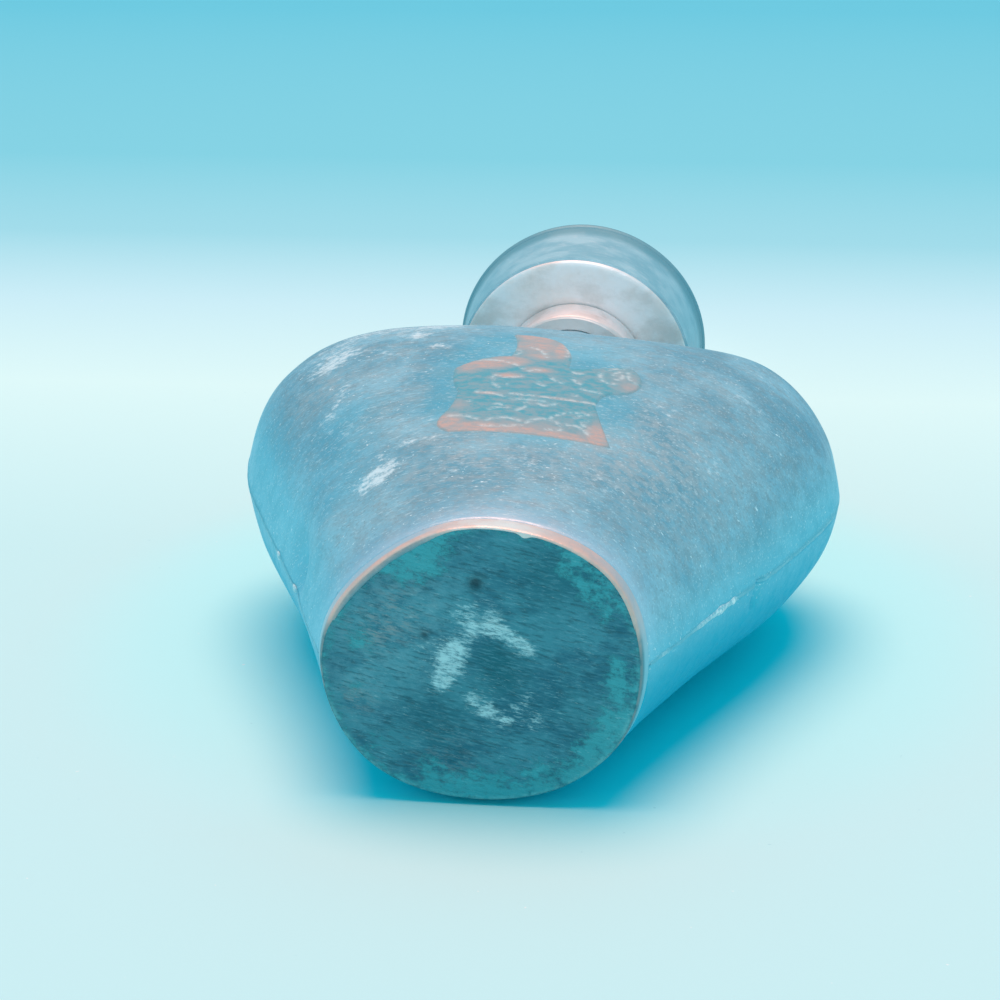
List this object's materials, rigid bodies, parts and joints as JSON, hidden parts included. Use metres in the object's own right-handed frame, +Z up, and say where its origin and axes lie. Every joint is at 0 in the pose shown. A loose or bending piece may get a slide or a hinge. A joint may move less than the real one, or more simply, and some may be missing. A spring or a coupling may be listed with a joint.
{
  "type": "pewter feeding bottle",
  "caption": "Flattened pear-shaped metal feeding bottle lying on its back, with soldered side seams, oval foot, applied front ornament, and a flared screw cap holding a bored teat.",
  "frame": {"origin": "on the floor, under the middle of the bottle's plan as it lies on its back", "axes": "+Z up off the floor, +Y from the foot towards the cap, +X to the right seen from the foot"},
  "size_m": [0.0912, 0.158, 0.0522],
  "materials": {
    "pewter": "worn grey skin with fine scratches and flecks",
    "solder": "pale soldered bead",
    "copper": "rubbed pink copper",
    "patina": "dark blue-green patina with worn pale ring",
    "washer": "plain cut leather"
  },
  "bodies": {
    "bottle": {"front_shell": "pewter", "rear_shell": "pewter", "left_seam": "solder", "right_seam": "solder", "foot_band": "copper", "base_plate": "patina", "ornament": "copper", "neck_tube": "pewter", "neck_collar": "pewter"},
    "seal": {"seal_washer": "washer"},
    "cap": {"cap_socket": "copper", "cap_floor": "copper", "cap_skirt": "pewter", "cap_rim_wire": "copper", "teat": "pewter"}
  },
  "joints": [
    {"name": "cap_lift", "type": "slide", "parent": "bottle", "child": "seal", "axis": [0, 0.9975, 0.0701], "range_m": [0, 0.00601]},
    {"name": "cap_turn", "type": "hinge", "parent": "seal", "child": "cap", "pos_m": [0, 0.05018, 0.02794], "axis": [0, 0.9975, 0.0701], "range_deg": [0, 1080]}
  ],
  "couplings": [
    {"joint": "cap_lift", "follows": "cap_turn", "m_per_rad": 0.00031831}
  ]
}
